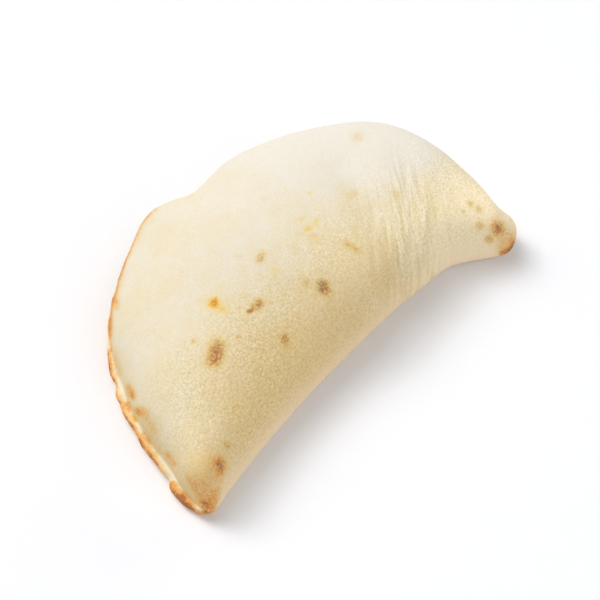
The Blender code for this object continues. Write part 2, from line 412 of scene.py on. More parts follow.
def groove(points, cell, seed):
    """Inward all along, a little more in some places."""
    return -(0.7 + 0.3 * lattice_noise(points, cell, seed))


def broken_groove(points, cell, seed):
    """Inward in stretches, with gaps between them."""
    return -ease(0.5 + lattice_noise(points, cell, seed))


def on_lip(middle, width):
    """A bell on every ring; 0 is the lip's foot, 1 its root on the dome."""
    return bell((RING - FLOOR_POINTS) / LIP_POINTS, middle, width)[None, :]


# Pattern, middle and width as on_lip() counts, depth and cell in metres, seed.
LIP_RELIEF = (
    (layered, 0.50, 0.40, 0.00090, 0.0090, 8),          # ragged
    (lattice_noise, 0.50, 0.40, 0.00022, 0.0016, 9),    # and chipped
    (groove, 0.97, 0.10, 0.00050, 0.006, 12),           # the root beside the dome
    (broken_groove, 0.56, 0.055, 0.00035, 0.010, 13),   # the seam between its two layers
)


def detail(rings):
    """Relief finer than the part carries: lumps, wrinkles, pores and the ragged lip."""
    top = WRINKLE_DEPTH * wrinkles(rings)
    for cell, depth, seed, layers in TOP_LUMPS:
        top = top + depth * layered(rings, cell, seed, layers)
    lip = sum(depth * pattern(rings, cell, seed) * on_lip(middle, width)
              for pattern, middle, width, depth, cell, seed in LIP_RELIEF)
    height = rings[..., 2]
    return top * ramp(height, *TOP_RELIEF) + lip * ramp(height, 0.0, LIP_RELIEF_FULL)


degrees, rings = skin()
base_normals = normals(rings)
rings = rings + base_normals * detail(rings)[..., None]
rings[..., 2] = np.maximum(rings[..., 2], 0.0)
rings = fit_box(rings, cad_box)

# ---------------------------------------------------------------- the camera's view
CAMERA_AZIMUTH, CAMERA_ELEVATION = math.radians(-46.4), math.radians(60.0)
CAMERA_DISTANCE = 0.8376
CAMERA_TARGET = Vector((0.0067, -0.0130, 0.0))
LENS, SENSOR = 100.0, 36.0   # millimetres
PICTURE = 600.0              # the photo's side, in picture units
CAMERA_BACK = Vector((math.sin(CAMERA_AZIMUTH) * math.cos(CAMERA_ELEVATION),
                      -math.cos(CAMERA_AZIMUTH) * math.cos(CAMERA_ELEVATION),
                      math.sin(CAMERA_ELEVATION)))
CAMERA_PLACE = CAMERA_TARGET + CAMERA_BACK * CAMERA_DISTANCE
OUT_OF_SIGHT = 1000.0        # picture units that keep a hidden point from being nearest


def in_picture(points):
    """Where the camera sees each point, in picture units from the top left."""
    right = Vector((math.cos(CAMERA_AZIMUTH), math.sin(CAMERA_AZIMUTH), 0.0))
    up = CAMERA_BACK.cross(right)
    ray = points - np.array(CAMERA_PLACE)
    depth = -(ray @ np.array(CAMERA_BACK))
    scale = PICTURE * LENS / SENSOR / depth
    return np.stack((0.5 * PICTURE + scale * (ray @ np.array(right)),
                     0.5 * PICTURE - scale * (ray @ np.array(up))), -1)


SEEN = in_picture(rings)
FACING = (base_normals * (np.array(CAMERA_PLACE) - rings)).sum(axis=-1) > 0.0


def on_surface(x, y):
    """The point of the dough that the camera sees at x, y."""
    gap = np.hypot(SEEN[..., 0] - x, SEEN[..., 1] - y) + np.where(FACING, 0.0, OUT_OF_SIGHT)
    return rings[np.unravel_index(gap.argmin(), gap.shape)]


# ---------------------------------------------------------------- how a mark is laid on
UNIT = 0.00055               # metres to one picture unit at the calzone
MARK_REACH = 0.025           # a mark measured in the picture stays this near its start
MARK_END = 0.0022            # least softness of the ends of a rim mark
OUTLINE_FINER = 4            # steps of the outline to one station
FLAT_LIP = 2                 # points of the lip's foot that never are the outline
HIGH_RIM = (0.008, 0.014)    # heights over which the outline leaves the lip for the wall
HIGH_RIM_EVEN = 2            # stations over which marks on that wall run together
BELOW_RIM = 0.011            # how far down a rim mark reaches below the outline
BELOW_RIM_EVEN = 6           # stations over which it is evened out there
BELOW_RIM_MOST = 0.85
BELOW_RIM_PATCHES = (0.62, 0.75, 0.010, 26, 0.10, 1.10)     # as patchy() takes them


def patchy(level, swing, cell, seed, least, most, added=0.0):
    """A strength that wanders about `level` over the surface."""
    return np.clip(level + swing * layered(rings, cell, seed) + added, least, most)


def segment_share(points, a, b):
    """How far along a-b the nearest place to each point is, 0..1."""
    span = b - a
    return np.clip(((points - a) @ span) / max(span @ span, 1e-12), 0.0, 1.0)[..., None]


def along_marks(marks):
    """Sum of soft marks; each is two ends in picture units, a half width in metres, a strength."""
    total = np.zeros(rings.shape[:2])
    for x0, y0, x1, y1, wide, strength in marks:
        a, b = on_surface(x0, y0), on_surface(x1, y1)
        gap = np.linalg.norm(rings - a - segment_share(rings, a, b) * (b - a), axis=-1)
        total += strength * bell(gap, 0.0, wide)
    return total


def seen_marks(marks):
    """The same for marks whose widths are measured across the picture."""
    total = np.zeros(rings.shape[:2])
    for x0, y0, x1, y1, wide, strength in marks:
        a, b = np.array((x0, y0)), np.array((x1, y1))
        gap = UNIT * np.linalg.norm(SEEN - a - segment_share(SEEN, a, b) * (b - a), axis=-1)
        near = np.linalg.norm(rings - on_surface(x0, y0), axis=-1) < MARK_REACH
        total += strength * bell(gap, 0.0, wide) * (FACING & near)
    return total


def rim_edge():
    """The ring index of the rim's outline in the picture, for every station."""
    first, last = FLOOR_POINTS + FLAT_LIP, FLOOR_POINTS + LIP_POINTS + DOME_POINTS // 2
    hidden = ~FACING[:, first:last]
    at = last - 1 - hidden[:, ::-1].argmax(axis=1)
    return np.where(hidden.any(axis=1), at, first)


def smoothed(values, half):
    """Running mean over 2 * half + 1 stations."""
    padded = np.concatenate((np.repeat(values[:1], half), values, np.repeat(values[-1:], half)))
    return np.convolve(padded, np.ones(2 * half + 1) / (2 * half + 1), "valid")


def finer(line, times):
    """The same open line with `times` as many steps."""
    at = np.linspace(0, len(line) - 1, times * (len(line) - 1) + 1)
    return np.stack([np.interp(at, np.arange(len(line)), column) for column in line.T], -1)


def rim_profiles(marks, edge_seen, edge_plan):
    """For each mark its strength all along the outline, and its reach inward."""
    step = np.linalg.norm(np.diff(edge_plan, axis=0), axis=1)
    along = np.concatenate(([0.0], np.cumsum(step)))
    profiles = []
    for x0, y0, x1, y1, wide, strength in marks:
        i, j = sorted(int(np.hypot(*(edge_seen - place).T).argmin())
                      for place in ((x0, y0), (x1, y1)))
        gap = np.maximum(0.0, np.maximum(along[i] - along, along - along[j]))
        profiles.append((strength * bell(gap, 0.0, max(wide, MARK_END)), wide))
    return profiles


def below_outline(strength, own, at):
    """The outline's browning as it fades down the wall, where the camera doesn't see it."""
    step = np.linalg.norm(np.diff(rings, axis=1), axis=2)
    around = np.concatenate((np.zeros((STATIONS, 1)), np.cumsum(step, axis=1)), axis=1)
    edge = smoothed(around[own, at], BELOW_RIM_EVEN)[:, None]
    strength = smoothed(np.minimum(strength, BELOW_RIM_MOST), 2 * BELOW_RIM_EVEN)[:, None]
    return strength * bell(edge - around, 0.0, BELOW_RIM) * patchy(*BELOW_RIM_PATCHES)


def along_rim(marks):
    """Soft marks on the rim's outline; seen from the camera they reach inward from it."""
    own, at = np.arange(STATIONS), rim_edge()
    edge = finer(np.column_stack((SEEN[own, at], rings[own, at, :2])), OUTLINE_FINER)
    edge_seen, edge_plan = edge[:, :2], edge[:, 2:]
    profiles = rim_profiles(marks, edge_seen, edge_plan)
    total = np.zeros(rings.shape[:2])
    for ring in range(FLOOR_POINTS + LIP_POINTS + DOME_POINTS // 2):
        gap = np.hypot(*(SEEN[:, ring, None, :] - edge_seen).transpose(2, 0, 1))
        nearest, inward = gap.argmin(axis=1), UNIT * gap.min(axis=1)
        total[:, ring] = sum(profile[nearest] * bell(inward, 0.0, wide)
                             for profile, wide in profiles)
    run_together = np.apply_along_axis(smoothed, 0, total, HIGH_RIM_EVEN)
    total = blend(total, run_together, ramp(rings[own, at, 2], *HIGH_RIM)[:, None])

    of_stations = sum(profile[::OUTLINE_FINER] for profile, _ in profiles)
    below = (RING[None, :] < at[:, None]) & ~FACING
    return np.where(below, below_outline(of_stations, own, at), total)


# ---------------------------------------------------------------- where the oven marked it
# Each mark: two ends in picture units, half width in metres, strength.
TOASTED = (
    # The large mottled one.
    (219, 345, 217, 353, 0.0036, 0.60), (216, 353, 215, 361, 0.0034, 0.34),
    (217, 346, 215, 359, 0.0058, 0.20), (211, 362, 214, 360, 0.0024, 0.32),
    # The spots over the middle of the body.
    (322, 285, 322, 288, 0.0034, 0.74), (327, 291, 329, 294, 0.0026, 0.50),
    (256, 306, 260, 303, 0.0026, 0.85), (249, 311, 251, 310, 0.0012, 1.00),
    (285, 335, 285, 338, 0.0022, 0.70), (284, 344, 287, 346, 0.0026, 0.42),
    (346, 244, 358, 251, 0.0023, 0.50), (261, 254, 261, 259, 0.0026, 0.42),
    (306, 281, 306, 284, 0.0022, 0.42), (357, 135, 357, 139, 0.0040, 0.24),
    (396, 194, 398, 195, 0.0030, 0.32), (351, 195, 353, 194, 0.0038, 0.26),
    (355, 228, 356, 236, 0.0016, 0.28), (345, 208, 358, 214, 0.0050, 0.12),
    (238, 337, 239, 336, 0.0012, 0.46), (194, 341, 194, 342, 0.0011, 0.46),
    (239, 308, 240, 308, 0.0010, 0.40), (270, 303, 271, 303, 0.0010, 0.36),
    (204, 393, 204, 393, 0.0010, 0.35), (353, 259, 353, 260, 0.0013, 0.26),
    (302, 234, 305, 237, 0.0028, 0.15), (314, 236, 316, 239, 0.0020, 0.22),
    (295, 247, 297, 250, 0.0026, 0.15), (361, 325, 362, 326, 0.0010, 0.35),
    (268, 395, 270, 396, 0.0024, 0.18), (226, 444, 228, 446, 0.0022, 0.60),
    # Faint ones on the floury part.
    (264, 199, 265, 199, 0.0022, 0.15),
    (181, 271, 182, 272, 0.0012, 0.20), (197, 259, 197, 260, 0.0012, 0.14),
    (236, 256, 241, 256, 0.0015, 0.18), (138, 312, 139, 314, 0.0022, 0.14),
    (155, 253, 156, 255, 0.0016, 0.12), (167, 294, 168, 296, 0.0020, 0.12),
)
TOASTED_TIP = (              # the browned left tip
    (220, 463, 222, 468, 0.0034, 0.95), (214, 462, 218, 472, 0.0046, 0.28),
    (202, 466, 201, 484, 0.0062, 0.26), (204, 486, 207, 500, 0.0072, 0.33),
    (188, 478, 201, 502, 0.0036, 0.36), (213, 494, 213, 508, 0.0036, 0.46),
    (206, 504, 211, 512, 0.0026, 0.66), (221, 480, 217, 500, 0.0030, 0.20),
)
TOASTED_RIGHT = (            # spots on the right tip; their widths are measured in the picture
    (470, 203, 471, 204, 0.0020, 0.42), (478, 208, 479, 210, 0.0018, 0.46),
    (463, 211, 464, 212, 0.0013, 0.30),
)
TOASTED_WARM = (             # measured the same way, in a warmer brown
    # The right tip.
    (497, 227, 498, 229, 0.0034, 0.70), (488, 239, 489, 240, 0.0022, 0.52),
    (496, 223, 499, 232, 0.0056, 0.22), (479, 225, 480, 226, 0.0023, 0.50),
    (503, 253, 511, 250, 0.0017, 0.95), (511, 249, 514, 243, 0.0015, 0.95),
    (505, 250, 513, 241, 0.0048, 0.42), (500, 240, 511, 236, 0.0052, 0.14),
    # The body, beside the lip.
    (129, 387, 132, 396, 0.0024, 0.66), (139, 411, 143, 411, 0.0029, 0.62),
    (132, 393, 133, 397, 0.0012, 0.50), (137, 410, 139, 414, 0.0013, 0.45),
    (146, 418, 155, 431, 0.0030, 0.42), (167, 454, 174, 464, 0.0020, 0.62),
    # The lip itself.
    (128, 404, 129, 408, 0.0017, 0.55), (144, 434, 148, 440, 0.0022, 0.45),
    (133, 425, 136, 429, 0.0014, 0.40), (115, 357, 119, 372, 0.0024, 0.30),
    (120, 396, 124, 404, 0.0022, 0.34), (126, 408, 131, 414, 0.0024, 0.28),
    (150, 443, 156, 451, 0.0024, 0.28), (116, 301, 117, 307, 0.0018, 0.40),
    (176, 489, 181, 496, 0.0024, 0.52), (183, 497, 188, 503, 0.0027, 0.80),
)
TOASTED_RIM = (              # ends on the rim's outline, half width inward from it
    (157, 209, 149, 217, 0.0008, 0.46), (149, 217, 139, 229, 0.0008, 0.34),
    (157, 209, 149, 217, 0.0034, 0.11), (148, 218, 137, 234, 0.0046, 0.19),
    (137, 232, 130, 247, 0.0010, 0.45), (137, 233, 128, 252, 0.0028, 0.12),
    (129, 248, 124, 258, 0.0009, 0.55), (124, 259, 122, 270, 0.0012, 0.90),
    (121, 272, 118, 284, 0.0009, 0.55), (120, 276, 114, 300, 0.0036, 0.30),
    (118, 284, 114, 297, 0.0010, 0.45), (114, 298, 113, 306, 0.0012, 0.45),
    (112, 308, 110, 318, 0.0008, 0.45), (110, 318, 110, 332, 0.0015, 1.00),
    (110, 334, 110, 354, 0.0008, 0.45), (110, 355, 111, 366, 0.0014, 0.60),
    (111, 366, 115, 380, 0.0014, 0.90), (110, 356, 113, 376, 0.0042, 0.26),
    (116, 382, 119, 400, 0.0012, 0.62), (120, 400, 127, 416, 0.0013, 0.62),
    (128, 416, 132, 424, 0.0015, 0.85), (132, 424, 141, 438, 0.0013, 0.64),
    (141, 434, 146, 445, 0.0026, 0.35), (143, 442, 151, 454, 0.0022, 0.95),
    (151, 454, 158, 462, 0.0018, 0.75), (157, 460, 165, 471, 0.0013, 0.50),
    (155, 458, 162, 467, 0.0040, 0.16), (173, 486, 180, 500, 0.0024, 0.85),
    (174, 489, 190, 506, 0.0046, 0.34), (180, 499, 191, 507, 0.0022, 0.95),
    (192, 508, 212, 514, 0.0014, 0.85),
)
CHARRED = (
    (321, 284, 323, 287, 0.0025, 0.80), (306, 281, 306, 283, 0.0016, 0.42),
    (257, 306, 261, 304, 0.0016, 0.48), (249, 311, 250, 311, 0.0011, 0.70),
    (261, 256, 261, 260, 0.0018, 0.42), (221, 464, 221, 467, 0.0021, 0.68),
    (498, 227, 498, 229, 0.0025, 0.90), (219, 345, 218, 354, 0.0022, 0.50),
)
OILED = (
    (213, 303, 214, 304, 0.0021, 0.95), (215, 299, 215, 301, 0.0011, 0.80),
    (222, 310, 225, 312, 0.0018, 0.46), (308, 228, 309, 229, 0.0019, 0.46),
    (211, 302, 215, 303, 0.0046, 0.20),
    (316, 220, 317, 223, 0.0015, 0.34), (301, 220, 303, 219, 0.0015, 0.34),
    (276, 270, 276, 271, 0.0018, 0.38), (309, 193, 310, 193, 0.0014, 0.34),
    (314, 236, 315, 237, 0.0024, 0.18),
    (155, 454, 156, 456, 0.0013, 0.60), (304, 335, 304, 336, 0.0026, 0.12),
    (186, 233, 186, 234, 0.0040, 0.10), (144, 335, 144, 335, 0.0028, 0.10),
)
OILED_LIP = (                # widths measured in the picture
    (134.5, 417, 135.5, 419.5, 0.0017, 1.00), (129, 407, 130, 408, 0.0009, 0.50),
)

TINTED = (                   # picture place, reach in metres, how much yellower
    (358, 196, 0.020, 0.13), (400, 256, 0.017, -0.10), (368, 308, 0.020, -0.13),
    (176, 440, 0.015, -0.14), (230, 385, 0.030, -0.06), (306, 284, 0.014, -0.08),
    (484, 222, 0.014, 0.12), (358, 160, 0.018, 0.08), (176, 240, 0.020, 0.06),
    (146, 305, 0.020, 0.07), (262, 202, 0.020, 0.03), (372, 322, 0.014, -0.10),
)

# How yellow the dough is: partly its own colour, partly painted shade, deeper on the shaded fold
# side. A term: its amount, where it starts and where it is full, in metres.
YELLOW = 0.34
YELLOW_TO_RIGHT = -1.2                   # for each metre of x
YELLOW_FOLD = (0.58, 0.008, -0.052)      # over y, toward the fold
YELLOW_RIGHT_END = (-0.22, 0.015, 0.065)                # over x
YELLOW_LEFT_TIP = (-0.18, -0.060, -0.090)               # over x, where y is in this range
YELLOW_LEFT_TIP_Y = (-0.012, -0.032)
YELLOW_RIM_FOOT = (0.34, 0.030, 0.004)   # over z, on the left half of the rim
YELLOW_RIM_DEGREES = (95.0, 140.0)       # grows over these degrees of the rim
YELLOW_RIM_ENDS = (0.9, 168.0, 182.0)    # loses this share at the left tip
PALER_TOWARD_KEY_LAMP = -0.10                   # painted light: paler on the side that faces the key lamp
KEY_LAMP_WAY = np.array((-0.30, 0.55, 0.78))
YELLOW_RANGE = (-0.2, 1.2)

RIGHT_TIP_LIGHT_X, RIGHT_TIP_LIGHT_Y = (0.030, 0.075), (-0.018, -0.052)   # the right tip's front, where the dough is painted lighter: painted light

# The sandy grain: over the whole body, toward the fold over y, and round one place.
GRIT = 0.15
GRIT_FOLD = (0.40, 0.002, -0.032)
GRIT_PLACE, GRIT_REACH, GRIT_AMOUNT = (-0.055, -0.030), 0.022, 0.42
GRIT_PATCHES = (0.5, 0.018, 21)          # share by which it varies, cell, seed
GRIT_MOST = 1.4

FOLD_SIDE_LOW = (0.030, 0.006)           # the smooth band low on the fold's side, which also gets painted bounce light from the floor, over z
UNDERSIDE = (0.0034, 0.0004)             # the underside, over z
# Browning where the camera doesn't see it; patches as patchy() takes them.
FAR_RIM = ((150.0, 136.0), (-16.0, -6.0))               # degrees over which it starts and ends
FAR_RIM_PATCHES = (0.42, 0.55, 0.012, 23, 0.0, 1.0)
UNDER_PATCHES = (0.40, 0.55, 0.020, 24, 0.0, 1.1)
UNDER_SPECKS = (0.25, 0.0021, 22)        # strength, cell, seed
UNDER_CHAR_PATCHES = (-0.35, 1.4, 0.013, 25, 0.0, 0.8)
LIP_NOSE = (0.46, 0.30)                  # as on_lip() counts
# The pale crease beside the lip; it reaches onto the shaded foot of the dome wall, where it is
# painted light.
LIP_CREASE = (1.06, 0.23)


def term(value, amounts):
    """An amount that grows over a stretch of the value."""
    amount, start, full = amounts
    return amount * ramp(value, start, full)


def yellowness():
    """From floury at the rim and both ends to deep yellow along the middle of the fold; the deep
    yellow on the shaded fold side is partly painted shade.
    """
    x, y, z = np.moveaxis(rings, -1, 0)
    # Deeper yellow toward the fold, the side in shade: partly the dough's colour, partly painted
    # shade.
    yellow = YELLOW + YELLOW_TO_RIGHT * x + term(y, YELLOW_FOLD) + term(x, YELLOW_RIGHT_END)
    # Painted light: the dough is paler where the surface faces the key lamp.
    yellow += PALER_TOWARD_KEY_LAMP * (base_normals @ (KEY_LAMP_WAY / np.linalg.norm(KEY_LAMP_WAY)))
    yellow += term(x, YELLOW_LEFT_TIP) * ramp(y, *YELLOW_LEFT_TIP_Y)
    rim_left = ramp(degrees, *YELLOW_RIM_DEGREES) * (1.0 - term(degrees, YELLOW_RIM_ENDS))
    rim_side = RING < FLOOR_POINTS + 0.5 * DOME_POINTS
    yellow += term(z, YELLOW_RIM_FOOT) * rim_left[:, None] * rim_side[None, :]
    for at_x, at_y, reach, amount in TINTED:
        yellow += amount * bell(np.linalg.norm(rings - on_surface(at_x, at_y), axis=-1), 0.0, reach)
    return np.clip(yellow, *YELLOW_RANGE)


def grittiness():
    """How sandy the surface is."""
    x, y = rings[..., 0], rings[..., 1]
    away = np.hypot(x - GRIT_PLACE[0], y - GRIT_PLACE[1])
    grit = GRIT + term(y, GRIT_FOLD) + GRIT_AMOUNT * bell(away, 0.0, GRIT_REACH)
    share, cell, seed = GRIT_PATCHES
    return np.clip(grit * (1.0 + share * layered(rings, cell, seed)), 0.0, GRIT_MOST)


def surface_layers():
    """Everything that is painted on the mesh, by the name the material reads it under."""
    height = rings[..., 2]
    nose = on_lip(*LIP_NOSE)
    under = ramp(height, *UNDERSIDE)
    orange = along_marks(TOASTED_TIP) + seen_marks(TOASTED_WARM) + along_rim(TOASTED_RIM)
    toast = along_marks(TOASTED) + seen_marks(TOASTED_RIGHT) + orange

    # The rim out of the camera's sight is browned the same way, and the underside by the stone.
    far_rim = ramp(degrees, *FAR_RIM[0]) * ramp(degrees, *FAR_RIM[1])
    toast += nose * far_rim[:, None] * patchy(*FAR_RIM_PATCHES)
    strength, cell, seed = UNDER_SPECKS
    toast += under * patchy(*UNDER_PATCHES, added=strength * lattice_noise(rings, cell, seed))
    char = along_marks(CHARRED) + under * patchy(*UNDER_CHAR_PATCHES)

    fold_side = (RING > FLOOR_POINTS + LIP_POINTS + 0.5 * DOME_POINTS) | (RING < 0.4 * FLOOR_POINTS)
    return {
        "toast": toast,
        "char": char,
        "oil": along_marks(OILED) + seen_marks(OILED_LIP),
        "yellow": yellowness(),
        "right_tip_light": ramp(rings[..., 0], *RIGHT_TIP_LIGHT_X) * ramp(rings[..., 1], *RIGHT_TIP_LIGHT_Y),
        "grit": grittiness(),
        # Low on the fold's side: a smooth band that is also given painted bounce light from the
        # floor.
        "edge": ramp(height, *FOLD_SIDE_LOW) * fold_side[None, :],
        "crease": on_lip(*LIP_CREASE) * np.ones_like(height),
        "orange": np.clip(orange + nose + under, 0.0, 1.0),      # browned warm, not olive
        "drawn": drawn_together(rings),
    }


def paint_on(mesh, name, values):
    """Stores one value for each point; the two tip points take their ring's mean."""
    flat = np.concatenate((values.reshape(-1), (values[0].mean(), values[-1].mean())))
    layer = mesh.attributes.new(name, "FLOAT", "POINT")
    layer.data.foreach_set("value", flat.astype(np.float32))


body_mesh = grid_mesh(NAME + "_dough", rings)
for layer_name, layer_values in surface_layers().items():
    paint_on(body_mesh, layer_name, layer_values)
dough = bpy.data.objects.new(NAME + "_dough", body_mesh)
bpy.context.scene.collection.objects.link(dough)

# ---------------------------------------------------------------- baked dough
# Colours of the dough from floury to deep, then the painted light and the pale crease laid on it.
FLOURY = (0.798, 0.750, 0.655)
CREAM = (0.778, 0.660, 0.430)
DEEP = (0.768, 0.572, 0.280)
# Painted light on the right tip's front.
RIGHT_TIP_PAINTED_LIGHT = (0.960, 0.810, 0.545)
# Painted bounce light from the floor, low on the fold's side.
FLOOR_BOUNCE_PINK = (0.950, 0.762, 0.550)
# The pale crease, also painted light over the shaded foot of the wall beside it.
CREASE_PALE_AND_PAINTED_LIGHT = (0.930, 0.880, 0.760)
# These multiply the colour under them: grain, then wrinkles, with painted shade in the grooves and
# flour and a painted highlight on the ridges.
SANDY_DARK, SANDY_PALE = (0.760, 0.740, 0.620), (1.220, 1.270, 1.420)
GROOVE_PAINTED_SHADE, RIDGE_FLOUR_AND_HIGHLIGHT = (0.925, 0.900, 0.770), (1.080, 1.095, 1.120)
# What the oven and the filling added.
OLIVE, GOLDEN = (0.728, 0.536, 0.218), (0.880, 0.530, 0.220)
BROWN, EMBER = (0.570, 0.290, 0.095), (0.770, 0.360, 0.095)
DARK = (0.420, 0.165, 0.055)
CHAR = (0.360, 0.190, 0.105)
SAFFRON = (0.800, 0.620, 0.230)
AMBER = (0.820, 0.440, 0.055)
RUST = (0.600, 0.270, 0.045)

# Strength at which a colour starts and is full, then the colour, plain and warm.
DOUGH_STAGES = ((0.02, 0.60, CREAM, CREAM), (0.42, 0.98, DEEP, DEEP))
OIL_STAGES = ((-0.02, 0.45, SAFFRON, SAFFRON), (0.30, 0.85, AMBER, AMBER), (0.85, 1.25, RUST, RUST))
TOAST_STAGES = ((-0.05, 0.62, OLIVE, GOLDEN), (0.36, 1.05, BROWN, EMBER), (0.95, 1.70, DARK, DARK))
CHAR_STAGES = ((0.05, 1.15, CHAR, CHAR),)

# How the grain breaks the marks up: its values from and to, then their strength there.
OIL_BREAKS = (0.30, 0.66, 0.60, 1.25)
CHAR_BREAKS = (0.36, 0.62, 0.50, 1.20)
TOAST_LEVEL, TOAST_LEAST = 0.95, 0.10
TOAST_SWING_PLAIN, TOAST_SWING_WARM = 2.6, 1.3
GRANULE_EDGE = (0.20, 0.55)              # from inside a granule to the gap beside it
GRANULE_TOAST, GAP_TOAST = 0.78, 0.45    # browning of a granule, and what a gap has more

RIGHT_TIP_LIGHT_SHARE, BOUNCE_BAND_SHARE, CREASE_AND_LIGHT_SHARE = 0.8, 0.75, 0.75
CLOUD_SWING, BLOTCH_SWING = 0.40, 0.25   # of the yellowness
GRAIN_CONTRAST, WRINKLE_CONTRAST = 4.5, 6.5
# Noises: waves to a metre, layers, roughness and, for the wrinkles, distortion.
CLOUDS = (45.0, 3.0, 0.55)
BLOTCHES = (190.0, 2.0, 0.5)
GRAIN = (920.0, 2.0, 0.60)
FLECKS = (1000.0, 2.0, 0.7)
WRINKLE_NOISE = (1.0, 2.0, 0.55, 0.35)
WRINKLE_TEXTURE = (0.020, 0.0024, 0.024)                # metres to one wave: along, across, up
GRANULES = 600.0             # to a metre
DULL, OILY_SHINE = 0.82, 0.30            # roughness, and what oil takes from it
SPECULAR = 0.28
BUMP_DEPTH, BUMP_STRENGTH = 0.00016, 0.8
BUMP_GRAIN, BUMP_GRAIN_SANDY = 0.35, 1.3                # heights: everywhere, and added by grit
BUMP_GRANULE, GRANULE_TOP = 0.8, (0.45, 0.05)           # and from the granule's edge to its top
BUMP_WRINKLE = 1.2

material = bpy.data.materials.new("dough")
material.use_nodes = True
tree = material.node_tree
shader = tree.nodes["Principled BSDF"]
place = tree.nodes.new("ShaderNodeTexCoord").outputs["Object"]


def socket(value, target):
    """Feeds a node output or a plain value into a socket."""
    if hasattr(value, "links"):
        tree.links.new(value, target)
    else:
        target.default_value = value


def calc(kind, a, b=0.0, c=0.0, clamp=False):
    """One step of arithmetic."""
    node = tree.nodes.new("ShaderNodeMath")
    node.operation = kind
    node.use_clamp = clamp
    for value, target in zip((a, b, c), node.inputs):
        socket(value, target)
    return node.outputs[0]


def times(a, b, clamp=False):
    return calc("MULTIPLY", a, b, clamp=clamp)


def spread(value, low, high, to_low=0.0, to_high=1.0):
    """A smooth step from `to_low` to `to_high` as the value goes from low to high."""
    node = tree.nodes.new("ShaderNodeMapRange")
    node.interpolation_type = "SMOOTHSTEP"
    for key, number in (("Value", value), ("From Min", low), ("From Max", high),
                        ("To Min", to_low), ("To Max", to_high)):
        socket(number, node.inputs[key])
    return node.outputs["Result"]


def swung(base, texture, swing):
    """The base moved up and down by a noise that stays about a half."""
    return calc("MULTIPLY_ADD", calc("SUBTRACT", texture, 0.5), swing, base)


def mix(amount, a, b, kind="MIX"):
    """Colour b over colour a; each is a node output or red, green and blue."""
    node = tree.nodes.new("ShaderNodeMix")
    node.data_type = "RGBA"
    node.blend_type = kind
    socket(amount, node.inputs["Factor"])
    for value, key in ((a, "A"), (b, "B")):
        target = [s for s in node.inputs if s.name == key and s.type == "RGBA"][0]
        socket(value if hasattr(value, "links") else (*value, 1.0), target)
    return [s for s in node.outputs if s.type == "RGBA"][0]


def noise(scale, layers, rough, warp=0.0, at=None):
    node = tree.nodes.new("ShaderNodeTexNoise")
    tree.links.new(at or place, node.inputs["Vector"])
    node.inputs["Scale"].default_value = scale
    node.inputs["Detail"].default_value = layers
    node.inputs["Roughness"].default_value = rough
    node.inputs["Distortion"].default_value = warp
    return node.outputs["Fac"]


def painted(name):
    """One of the values of surface_layers()."""
    node = tree.nodes.new("ShaderNodeAttribute")
    node.attribute_name = name
    return node.outputs["Fac"]


def granules():
    """Distance from the middle of the nearest grain."""
    cells = tree.nodes.new("ShaderNodeTexVoronoi")
    tree.links.new(place, cells.inputs["Vector"])
    cells.inputs["Scale"].default_value = GRANULES
    return cells.outputs["Distance"]


def wrinkle_lines():
    """-1..1 in lines along the wrinkles, 0 outside their patch."""
    turned = tree.nodes.new("ShaderNodeMapping")
    tree.links.new(place, turned.inputs["Vector"])
    turned.vector_type = "TEXTURE"
    turned.inputs["Rotation"].default_value = (0.0, 0.0, WRINKLE_ANGLE)
    turned.inputs["Scale"].default_value = WRINKLE_TEXTURE
    line = noise(*WRINKLE_NOISE, at=turned.outputs["Vector"])
    return times(calc("SUBTRACT", line, 0.5), times(painted("drawn"), WRINKLE_CONTRAST))


grain = noise(*GRAIN)
fleck = noise(*FLECKS)
granule = granules()
line = wrinkle_lines()
grit, edge, orange, oil = (painted(name) for name in ("grit", "edge", "orange", "oil"))


def staged(colour, strength, stages):
    """Colours laid over each other as the strength grows."""
    for start, full, plain, warm in stages:
        shade = plain if plain == warm else mix(orange, plain, warm)
        colour = mix(spread(strength, start, full), colour, shade)
    return colour


def plain_dough():
    """Floury to deep yellow, with painted light on the right tip's front, and smooth and pinkish
    low on the fold's side, where that pink is painted bounce light from the floor.
    """
    yellow = swung(painted("yellow"), noise(*CLOUDS), CLOUD_SWING)
    yellow = swung(yellow, noise(*BLOTCHES), BLOTCH_SWING)
    colour = staged(FLOURY, yellow, DOUGH_STAGES)
    # Painted light on the right tip's front.
    colour = mix(times(painted("right_tip_light"), RIGHT_TIP_LIGHT_SHARE), colour, RIGHT_TIP_PAINTED_LIGHT)
    # Painted bounce light from the floor, low on the fold's side.
    return mix(times(edge, BOUNCE_BAND_SHARE), colour, FLOOR_BOUNCE_PINK)


def grained(colour):
    """Sandy grain, wrinkles with painted shade in their grooves and a painted highlight on their
    ridges, and the pale crease beside the lip, which is also painted light on the shaded foot of
    the wall.
    """
    sandy = times(grit, calc("SUBTRACT", 1.0, times(edge, BOUNCE_BAND_SHARE)))
    low = times(calc("SUBTRACT", 0.50, grain), GRAIN_CONTRAST, clamp=True)
    high = times(calc("SUBTRACT", grain, 0.50), GRAIN_CONTRAST, clamp=True)
    colour = mix(times(low, sandy), colour, SANDY_DARK, "MULTIPLY")
    colour = mix(times(high, sandy), colour, SANDY_PALE, "MULTIPLY")
    # Flour and a painted highlight on the wrinkles' ridges, painted shade in their grooves.
    colour = mix(times(line, 1.0, clamp=True), colour, RIDGE_FLOUR_AND_HIGHLIGHT, "MULTIPLY")
    colour = mix(times(line, -1.0, clamp=True), colour, GROOVE_PAINTED_SHADE, "MULTIPLY")
    # Pale crease, partly painted light on the shaded foot of the wall.
    return mix(times(painted("crease"), CREASE_AND_LIGHT_SHARE), colour, CREASE_PALE_AND_PAINTED_LIGHT)


